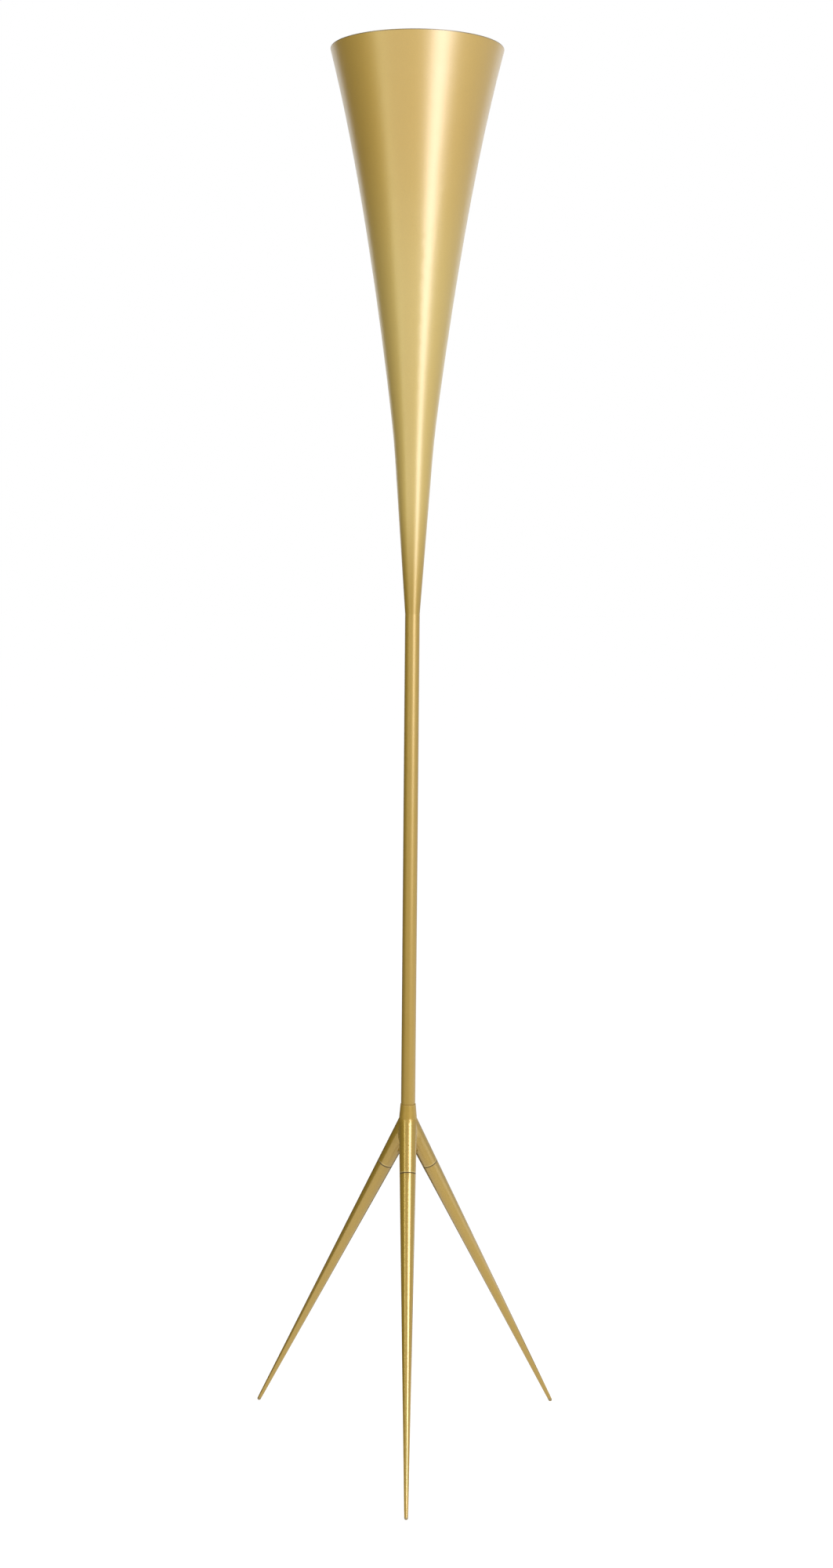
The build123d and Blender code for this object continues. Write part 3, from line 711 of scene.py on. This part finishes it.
def square_turns(thread, tall):
    """The turns of a thread about Z, cut off square at the origin and at a height."""
    bm = bmesh.new()
    corners = [
        bm.verts.new((thread.crest - thread.depth * cut, 0, thread.pitch * (part - 1)))
        for cut, part in thread.shape
    ]
    edges = [bm.edges.new(pair) for pair in zip(corners, corners[1:])]
    spun(bm, corners + edges, thread.steps, rise=thread.pitch / thread.steps)
    one_turn = everything(bm)
    spare_turns = 2
    for number in range(1, math.ceil(tall / thread.pitch) + spare_turns):
        copied = bmesh.ops.duplicate(bm, geom=one_turn)["geom"]
        bmesh.ops.translate(bm, verts=vertices(copied), vec=UP * (thread.pitch * number))
    bmesh.ops.remove_doubles(bm, verts=bm.verts, dist=MERGE_DISTANCE)
    for height, outward in ((0, -UP), (tall, UP)):
        bmesh.ops.bisect_plane(
            bm,
            geom=everything(bm),
            dist=MERGE_DISTANCE,
            plane_co=UP * height,
            plane_no=outward,
            clear_outer=True,
        )
    return bm


def ease_ends(bm, thread, tall, shank, chamfers, runouts):
    """Lets a thread run out towards its ends and chamfers the bar that it is on."""
    for vert in bm.verts:
        insets = (vert.co.z, tall - vert.co.z)
        reach = math.hypot(vert.co.x, vert.co.y)
        kept = reach
        for inset, runout in zip(insets, runouts):
            if runout is not None:
                strength = min(1.0, max(0.0, (inset - runout) / thread.pitch))
                kept = max(kept, thread.crest - (thread.crest - reach) * strength)
        for inset, chamfer in zip((insets[0] + shank, insets[1]), chamfers):
            kept = min(kept, thread.crest - max(0.0, chamfer - inset))
        vert.co.x *= kept / reach
        vert.co.y *= kept / reach


def add_shank(bm, crest, shank, chamfer):
    """Draws the lower end of a thread down into a plain bar."""
    rim = open_rim(bm, 0)
    for drop, radius in ((shank - chamfer, crest), (shank, crest - chamfer)):
        for vert in vertices(bmesh.ops.extrude_edge_only(bm, edges=rim)["geom"]):
            scale = radius / math.hypot(vert.co.x, vert.co.y)
            vert.co = (vert.co.x * scale, vert.co.y * scale, -drop)
        rim = open_rim(bm, -drop)


def threaded(low, high, thread, bore=0.0, shank=0.0, chamfers=(0.0, 0.0), runouts=(None, None)):
    """A bar or tube about Z with a thread between two heights.

    A shank is plain bar below the thread. Chamfers are those of the lower and the upper end. A runout is
    the smooth length at an end of the thread, past which the thread deepens over one turn. The form is
    made at the origin, where coordinates are finest, and then raised.
    """
    tall = high - low
    bm = square_turns(thread, tall)
    ease_ends(bm, thread, tall, shank, chamfers, runouts)
    if shank:
        add_shank(bm, thread.crest, shank, chamfers[0])
    ends = (-shank, tall)
    if bore:
        corners = [bm.verts.new((bore, 0, height)) for height in ends]
        spun(bm, corners + [bm.edges.new(corners)], thread.steps)
    for height in ends:
        bmesh.ops.triangle_fill(bm, use_beauty=True, edges=open_rim(bm, height))
    cleaned(bm)
    bmesh.ops.translate(bm, verts=bm.verts, vec=UP * low)
    return bm


def hexagon_nuts(bases, height, corner, bore, edge, steps):
    """Six-sided nuts about the lamp's axis, with corners on X and eased edges, one on each base."""
    bm = bmesh.new()
    bmesh.ops.create_circle(bm, segments=NUT_SIDES, radius=corner)
    bmesh.ops.subdivide_edges(bm, edges=bm.edges[:], cuts=steps // NUT_SIDES - 1)
    bmesh.ops.create_circle(bm, segments=steps, radius=bore)
    bmesh.ops.rotate(bm, verts=bm.verts, matrix=Matrix.Rotation(QUARTER_TURN, 3, "Z"))
    ring = bmesh.ops.bridge_loops(bm, edges=bm.edges[:])["faces"]
    top = bmesh.ops.extrude_face_region(bm, geom=ring)["geom"]
    bmesh.ops.translate(bm, verts=vertices(top), vec=UP * height)
    cleaned(bm)
    eased = []
    for rim in bm.edges:
        level_rim = abs(rim.verts[0].co.z - rim.verts[1].co.z) < MERGE_DISTANCE
        outside = all(math.hypot(vert.co.x, vert.co.y) > bore + edge for vert in rim.verts)
        if level_rim and outside and rim.calc_face_angle() > SHARP_ANGLE:
            eased.append(rim)
    bmesh.ops.bevel(
        bm, geom=eased, offset=edge, affect="EDGES", segments=BEVEL_SEGMENTS, profile=0.5, material=-1
    )
    cleaned(bm)
    nut = everything(bm)
    first, *others = bases
    for base in others:
        copied = bmesh.ops.duplicate(bm, geom=nut)["geom"]
        bmesh.ops.translate(bm, verts=vertices(copied), vec=UP * base)
    bmesh.ops.translate(bm, verts=vertices(nut), vec=UP * first)
    return bm


class LAMP_OT_camera(Operator):
    """Stand the camera in front of the lamp"""

    bl_idname = "lamp.camera"
    bl_label = "Camera"

    def execute(self, context):
        view = context.scene.lamp_view
        across = math.cos(view.pitch)
        forward = Vector((math.sin(view.yaw) * across, math.cos(view.yaw) * across, -math.sin(view.pitch)))
        right = Vector((math.cos(view.yaw), -math.sin(view.yaw), 0))
        up = right.cross(forward)
        leaned_right = right * math.cos(view.roll) + up * math.sin(view.roll)
        leaned_up = up * math.cos(view.roll) - right * math.sin(view.roll)
        basis = Matrix((leaned_right, leaned_up, -forward)).transposed().to_4x4()
        data = bpy.data.cameras.new("front_camera")
        data.sensor_fit = "VERTICAL"
        data.sensor_height = FILM_HEIGHT
        data.lens = view.lens
        camera = bpy.data.objects.new("front_camera", data)
        context.scene.collection.objects.link(camera)
        place = Matrix.Translation((0, -view.distance, view.height))
        camera.matrix_world = Matrix.Rotation(view.turn, 4, "Z") @ place @ basis
        context.scene.camera = camera
        return {"FINISHED"}


class Card(NamedTuple):
    """A glowing card that stands facing the lamp, at an angle in degrees to the right of the front."""

    angle: float
    distance: float
    width: float
    low: float
    high: float
    level: float
    tint: tuple = WHITE

    def form(self):
        """The card, set up in its place."""
        turn = Matrix.Rotation(math.radians(self.angle), 4, "Z")
        place = Matrix.Translation((0, -self.distance, (self.low + self.high) / 2))
        upright = Matrix.Rotation(QUARTER_TURN, 4, "X")
        size = Matrix.Diagonal((self.width / 2, (self.high - self.low) / 2, 1, 1))
        bm = bmesh.new()
        bmesh.ops.create_grid(bm, x_segments=1, y_segments=1, size=1.0)
        bmesh.ops.transform(bm, matrix=turn @ place @ upright @ size, verts=bm.verts)
        return bm


class Carpet(NamedTuple):
    """A glowing patch at floor level that only gloss sees, a painted reflection of the floor, by its
    corners.
    """

    corners: tuple
    level: float
    tint: tuple = WHITE

    def form(self):
        """The carpet, as one face."""
        bm = bmesh.new()
        bm.faces.new([bm.verts.new((x, y, 0)) for x, y in self.corners])
        return bm


def oblong(left, right, front, back):
    """The corners of an oblong part of the floor."""
    return (left, front), (right, front), (right, back), (left, back)


LEMON = (0.95, 1.0, 0.62)
CREAM = (1.0, 0.952, 0.819)

# The lines between the grey, pale, dark and dim patches that paint the floor's reflection, in metres to
# the right and to the back.
GREY_SIDE = 4.0
GREY_FRONT = -4.6
PALE_FRONT = -0.7
PALE_RIGHT = 0.9
PALE_BACK = 0.25
DIM_BACK = 2.5
FOOT_LEFT = -0.22
SLANT_START = (-2.0, PALE_FRONT)
SLANT_END = (FOOT_LEFT, 0.125)
PALE_CORNERS = (
    SLANT_START,
    (PALE_RIGHT, PALE_FRONT),
    (PALE_RIGHT, PALE_BACK),
    (FOOT_LEFT, PALE_BACK),
    SLANT_END,
)
DARK_CORNERS = (
    (-GREY_SIDE, PALE_FRONT),
    SLANT_START,
    SLANT_END,
    (FOOT_LEFT, DIM_BACK),
    (-GREY_SIDE, DIM_BACK),
)

# What the lacquer mirrors, by the names of the objects: glowing cards and floor patches that only gloss
# sees, which paint reflections, the dimmest ones painted reflections of shade.
MIRRORED = {
    "room_card": Card(angle=0, distance=4.6, width=9.0, low=0.0, high=7.0, level=0.4),
    "stripe_card": Card(angle=-47, distance=3.0, width=0.9, low=0.0, high=3.2, level=0.6),
    "high_stripe_card": Card(
        angle=-51, distance=2.95, width=0.35, low=1.2, high=3.0, level=3.6, tint=LEMON
    ),
    "left_card": Card(angle=-98, distance=2.6, width=4.4, low=0.0, high=3.6, level=0.03),
    "left_flag": Card(angle=-150, distance=3.0, width=2.4, low=0.0, high=1.1, level=0.03),
    "right_card": Card(angle=92, distance=3.0, width=5.0, low=0.0, high=3.6, level=0.52),
    "right_flag": Card(angle=150, distance=3.0, width=2.4, low=0.0, high=1.1, level=0.52),
    "carpet": Carpet(oblong(-GREY_SIDE, GREY_SIDE, GREY_FRONT, PALE_FRONT), level=0.25),
    "near_carpet": Carpet(PALE_CORNERS, level=0.92, tint=CREAM),
    "shade_reflection_patch": Carpet(DARK_CORNERS, level=0.12),
    "back_carpet": Carpet(oblong(FOOT_LEFT, PALE_RIGHT, PALE_BACK, DIM_BACK), level=0.30),
}


class LAMP_OT_stage(Operator):
    """Lay the floor, whiten the surroundings and set up the lights"""

    bl_idname = "lamp.stage"
    bl_label = "Stage"

    def execute(self, context):
        stage = context.scene.lamp_stage
        context.scene.view_settings.view_transform = "Standard"
        self.surround(context, stage)
        self.floor(context, stage)
        for name, mirrored in MIRRORED.items():
            self.reflected(context, name, mirrored)
        key = self.soft_box(context, "key_box", stage.key_level, stage.key_angle, stage.key_width)
        key.rotation_euler.y = stage.key_lean
        fill = self.soft_box(context, "fill_box", stage.fill_level, -stage.fill_angle, stage.fill_width)
        fill.visible_glossy = False
        return {"FINISHED"}

    def white_rays(self, tree):
        """1 for rays that see the white surroundings, from the camera or off gloss and through glass."""
        camera, glossy, through = (
            tree.add("ShaderNodeLightPath", output=f"Is {kind} Ray")
            for kind in ("Camera", "Glossy", "Transmission")
        )
        return camera.larger(glossy).larger(through)

    def surround(self, context, stage):
        """Light from all round, white to the eye and dimmer on matt surfaces."""
        world = bpy.data.worlds.new("white_surround")
        context.scene.world = world
        tree = ShaderTree(world)
        strength = stage.surround + self.white_rays(tree) * (1 - stage.surround)
        glow = tree.add("ShaderNodeBackground", None, {"Color": WHITE, "Strength": strength})
        tree.add("ShaderNodeOutputWorld", None, {"Surface": glow})

    def floor(self, context, stage):
        """Paper that takes faint shadows and glows up to white."""
        tree = ShaderTree(bpy.data.materials.new("floor_paper"))
        paper = tree.add("ShaderNodeBsdfDiffuse", None, {"Color": stage.floor_colour})
        strength = self.white_rays(tree) * stage.floor_glow
        glow = tree.add("ShaderNodeEmission", None, {"Color": WHITE, "Strength": strength})
        both = tree.add("ShaderNodeAddShader", None, {0: paper, 1: glow})
        tree.add("ShaderNodeOutputMaterial", None, {"Surface": both})
        bm = bmesh.new()
        bmesh.ops.create_grid(bm, x_segments=1, y_segments=1, size=stage.floor_size)
        bmesh.ops.translate(bm, verts=bm.verts, vec=UP * -stage.floor_drop)
        self.panel(context, "floor", bm, tree.owner)

    def reflected(self, context, name, mirrored):
        """Adds a card or a carpet that only gloss shows, as a painted reflection."""
        tree = ShaderTree(bpy.data.materials.new(f"{name}_glow"))
        light = {"Color": mirrored.tint, "Strength": mirrored.level}
        glow = tree.add("ShaderNodeEmission", None, light)
        tree.add("ShaderNodeOutputMaterial", None, {"Surface": glow})
        card = self.panel(context, name, mirrored.form(), tree.owner)
        card.visible_camera = False
        card.visible_diffuse = False
        card.visible_transmission = False
        card.visible_shadow = False

    def panel(self, context, name, bm, material):
        """A flat part of the stage, which isn't part of the lamp."""
        mesh = bpy.data.meshes.new(name)
        bm.to_mesh(mesh)
        bm.free()
        mesh.materials.append(material)
        panel = bpy.data.objects.new(name, mesh)
        context.scene.collection.objects.link(panel)
        return panel

    def soft_box(self, context, name, radiance, angle, width):
        """A tall light that faces the lamp's axis, at an angle to the right of the front."""
        stage = context.scene.lamp_stage
        low = stage.light_low
        high = stage.light_high
        distance = stage.light_distance
        light = bpy.data.lights.new(name, "AREA")
        light.shape = "RECTANGLE"
        light.size = width
        light.size_y = high - low
        light.energy = radiance * math.pi * width * (high - low)
        box = bpy.data.objects.new(name, light)
        box.location = (distance * math.sin(angle), -distance * math.cos(angle), (low + high) / 2)
        box.rotation_euler = (QUARTER_TURN, 0, angle)
        box.visible_camera = False
        context.scene.collection.objects.link(box)
        return box


class LAMP_OT_horn(Operator):
    """Lacquer the horn inside and out"""

    bl_idname = "lamp.horn"
    bl_label = "Horn"

    def execute(self, context):
        colours = context.scene.lamp_colours
        low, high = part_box("horn")
        dress(gold_lacquer("horn_lacquer", colours, HORN_SATIN, horn=(low.z, high.z)), "horn")
        return {"FINISHED"}


class LAMP_OT_pole(Operator):
    """Lacquer the pole and the hub, with a dark line in each joint"""

    bl_idname = "lamp.pole"
    bl_label = "Pole and hub"

    def execute(self, context):
        colours = context.scene.lamp_colours
        seams = [collar_seam()]
        dress(gold_lacquer("pole_lacquer", colours, POLE_SATIN, seams), "pole")
        seams += [arm_seam(side) for side in LEG_SIDES]
        dress(gold_lacquer("hub_lacquer", colours, ARM_SATIN, seams, collar=leg_apex().z), "hub")
        return {"FINISHED"}


class LAMP_OT_legs(Operator):
    """Lacquer the legs and their feet"""

    bl_idname = "lamp.legs"
    bl_label = "Legs and feet"

    def execute(self, context):
        colours = context.scene.lamp_colours
        for side in LEG_SIDES:
            lacquer = gold_lacquer(f"leg_lacquer_{side}", colours, ARM_SATIN, [arm_seam(side)])
            dress(lacquer, f"leg_{side}")
        feet = [f"foot_{side}" for side in LEG_SIDES]
        dress(gold_lacquer("foot_lacquer", colours, ARM_SATIN, scuffed=True), *feet)
        return {"FINISHED"}


class LAMP_OT_studs(Operator):
    """Cut the thread on the studs that hold the legs"""

    bl_idname = "lamp.studs"
    bl_label = "Leg studs"

    def execute(self, context):
        sizes = context.scene.lamp_sizes
        steel = zinc_plate("stud_zinc", context.scene.lamp_colours)
        apex = leg_apex()
        chamfers = (sizes.stud_chamfer, sizes.stud_chamfer)
        for side in LEG_SIDES:
            node = f"leg_stud_{side}"
            axis = leg_axis(side)
            offsets = [vert.co - apex for vert in NODES[node].data.vertices]
            along = [offset.dot(axis) for offset in offsets]
            radius = max((offset - axis * far).length for offset, far in zip(offsets, along))
            thread = Thread(radius, sizes.stud_depth, sizes.stud_pitch, sizes.round_steps)
            stud = threaded(min(along), max(along), thread, chamfers=chamfers)
            turn = UP.rotation_difference(axis).to_matrix().to_4x4()
            bmesh.ops.transform(stud, matrix=Matrix.Translation(apex) @ turn, verts=stud.verts)
            add_piece(f"threaded_stud_{side}", stud, steel, f"stud_{side}", "zinc_steel", node)
        return {"FINISHED"}


class LAMP_OT_rod(Operator):
    """Thread the rod inside the horn and ease the nuts on it"""

    bl_idname = "lamp.rod"
    bl_label = "Rod, nuts and bushes"

    def execute(self, context):
        sizes = context.scene.lamp_sizes
        colours = context.scene.lamp_colours
        steel = zinc_plate("rod_zinc", colours)
        low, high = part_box("support_rod")
        thread_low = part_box("centring_plate")[0].z - sizes.rod_thread
        rod = threaded(
            thread_low,
            high.z,
            Thread(high.x, sizes.rod_depth, sizes.rod_pitch, sizes.rod_steps),
            bore=sizes.rod_bore,
            shank=thread_low - low.z,
            chamfers=(sizes.rod_depth, sizes.rod_depth),
            runouts=(0.0, None),
        )
        add_piece("threaded_rod", rod, steel, "stand", "zinc_steel", "support_rod")
        corner, _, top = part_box("rod_nuts")[1]
        bases = (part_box("plate_washer")[1].z, top - sizes.nut_height)
        nuts = hexagon_nuts(bases, sizes.nut_height, corner, high.x, sizes.nut_edge, sizes.round_steps)
        add_piece("hexagon_nuts", nuts, steel, "stand", "zinc_steel", "rod_nuts")
        dress(steel, "plate_washer", "hub_nipple", "pole_set_screw")
        dress(turned_brass("bush_brass", colours), "pole_bottom_bush", "pole_top_bush")
        return {"FINISHED"}


class LAMP_OT_plate(Operator):
    """Finish the plate that centres the horn"""

    bl_idname = "lamp.plate"
    bl_label = "Centring plate"

    def execute(self, context):
        dress(spun_aluminium("plate_aluminium", context.scene.lamp_colours), "centring_plate")
        return {"FINISHED"}


class LAMP_OT_holder(Operator):
    """Rib the lampholder's sleeve and finish its insides"""

    bl_idname = "lamp.holder"
    bl_label = "Lampholder"

    def execute(self, context):
        colours = context.scene.lamp_colours
        black = moulded("holder_black", colours.black_plastic, satin=0.42, grain=0.0004, mottle=0.012)
        sleeve = self.sleeve(context.scene.lamp_sizes)
        add_piece("ribbed_sleeve", sleeve, black, "stand", "holder_plastic", "holder_sleeve")
        dress(black, "holder_cap")
        dress(moulded("core_ivory", colours.ivory, satin=0.25, grain=0.0008, mottle=0.05), "holder_core")
        contacts = turned_brass("contact_brass", colours)
        dress(contacts, "holder_terminals", "terminal_screws", "holder_contact", "holder_shell")
        return {"FINISHED"}

    def sleeve(self, sizes):
        """A sleeve with a lip inside its mouth and grip ribs round its middle."""
        low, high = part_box("holder_sleeve")
        outer = high.x
        inner = outer - sizes.sleeve_wall
        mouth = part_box("bulb_cap")[1].x + sizes.sleeve_room
        edge = sizes.sleeve_edge
        rib_low = low.z + sizes.rib_foot
        rib_high = high.z - sizes.rib_head
        section = (
            (inner, low.z),
            (outer - edge, low.z),
            (outer, low.z + edge),
            (outer, rib_low),
            (outer, rib_high),
            (outer, high.z - edge),
            (outer - edge, high.z),
            (mouth + edge / 2, high.z),
            (mouth, high.z - edge / 2),
            (mouth, high.z - sizes.sleeve_lip),
            (inner, high.z - sizes.sleeve_lip),
        )
        sleeve = turned(section, 2 * sizes.sleeve_ribs)
        band = []
        for face in sleeve.faces:
            middle = face.calc_center_median()
            outside = math.hypot(middle.x, middle.y) > inner + sizes.sleeve_wall / 2
            if outside and rib_low < middle.z < rib_high:
                band.append((math.atan2(middle.y, middle.x), face))
        band.sort(key=lambda entry: entry[0])
        grooves = [face for _, face in band[::2]]
        bmesh.ops.inset_individual(
            sleeve, faces=grooves, thickness=sizes.rib_flank, depth=-sizes.rib_groove
        )
        return sleeve


class LAMP_OT_bulb(Operator):
    """Roll the thread on the bulb's cap and finish the bulb"""

    bl_idname = "lamp.bulb"
    bl_label = "Bulb"

    def execute(self, context):
        sizes = context.scene.lamp_sizes
        colours = context.scene.lamp_colours
        low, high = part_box("bulb_cap")
        metal = cap_metal("cap_metal", colours, high.x - sizes.cap_depth)
        cap = threaded(
            low.z,
            high.z,
            Thread(high.x, sizes.cap_depth, sizes.cap_pitch, sizes.round_steps, ROUND_THREAD),
            chamfers=(sizes.cap_shoulder, 0.0),
            runouts=(sizes.cap_skirt, sizes.cap_skirt),
        )
        add_piece("rolled_cap", cap, metal, "bulb", "bulb_metal", "bulb_cap")
        white = moulded("housing_white", colours.white_plastic, satin=0.36, grain=0.0005, mottle=0.03)
        dress(metal, "bulb_contact")
        dress(bead_glass("bead_glass", colours), "bulb_insulator")
        dress(white, "bulb_housing")
        dress(opal_dome("dome_opal", colours), "bulb_dome")
        dress(driver_green("driver_green", colours), "driver_board")
        dress(led_white("led_white", colours, sizes.chip_ring), "led_board")
        dress(chip_phosphor("chip_phosphor", colours, sizes.chip_ring), "led_chips")
        return {"FINISHED"}


class LAMP_OT_wiring(Operator):
    """Finish the cable, its cores and the bushing where a cord enters"""

    bl_idname = "lamp.wiring"
    bl_label = "Wiring"

    def execute(self, context):
        colours = context.scene.lamp_colours
        gland = self.gland(context.scene.lamp_sizes)
        rubber = moulded("gland_rubber", colours.rubber, satin=0.6, grain=0.0005, mottle=0.01)
        add_piece("cord_gland", gland, rubber, "stand", "cord_rubber", "cord_bushing")
        cable = moulded("cable_black", colours.black_plastic, satin=0.5, grain=0.0008, mottle=0.01)
        dress(cable, "inner_cable")
        dress(moulded("core_brown", colours.brown, satin=0.35, grain=0.0006, mottle=0.02), "wire_live")
        dress(moulded("core_blue", colours.blue, satin=0.35, grain=0.0006, mottle=0.02), "wire_neutral")
        return {"FINISHED"}

    def gland(self, sizes):
        """A bushing with a round on its flange and an eased mouth."""
        low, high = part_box("cord_bushing")
        flange_top = low.z + sizes.gland_flange
        eased = sizes.gland_round
        middle = sizes.gland_round_middle
        section = (
            (sizes.gland_bore + eased / 2, low.z),
            (high.x - eased, low.z),
            (high.x - middle, low.z + middle),
            (high.x, low.z + eased),
            (high.x, flange_top),
            (sizes.gland_stem, flange_top),
            (sizes.gland_stem, high.z),
            (sizes.gland_bore, high.z),
            (sizes.gland_bore, low.z + eased / 2),
        )
        return turned(section, sizes.round_steps)


MAKING = (
    LAMP_OT_camera,
    LAMP_OT_stage,
    LAMP_OT_horn,
    LAMP_OT_pole,
    LAMP_OT_legs,
    LAMP_OT_studs,
    LAMP_OT_rod,
    LAMP_OT_plate,
    LAMP_OT_holder,
    LAMP_OT_bulb,
    LAMP_OT_wiring,
)


class LAMP_PT_making(Panel):
    """Lists the steps that dress the lamp"""

    bl_idname = "LAMP_PT_making"
    bl_label = "Trumpet floor lamp"
    bl_space_type = "VIEW_3D"
    bl_region_type = "UI"
    bl_category = SIDEBAR_TAB

    def draw(self, context):
        for step in MAKING:
            self.layout.operator(step.bl_idname)


GROUPS = {
    "lamp_view": LampView,
    "lamp_stage": LampStage,
    "lamp_colours": LampColours,
    "lamp_sizes": LampSizes,
}
CLASSES = (*GROUPS.values(), *MAKING, LAMP_PT_making)


def register():
    for item in CLASSES:
        bpy.utils.register_class(item)
    for name, group in GROUPS.items():
        setattr(bpy.types.Scene, name, PointerProperty(type=group))


def unregister():
    for name in GROUPS:
        delattr(bpy.types.Scene, name)
    for item in reversed(CLASSES):
        bpy.utils.unregister_class(item)


def main():
    register()
    for step in MAKING:
        category, name = step.bl_idname.split(".")
        getattr(getattr(bpy.ops, category), name)()


if __name__ == "__main__":
    main()
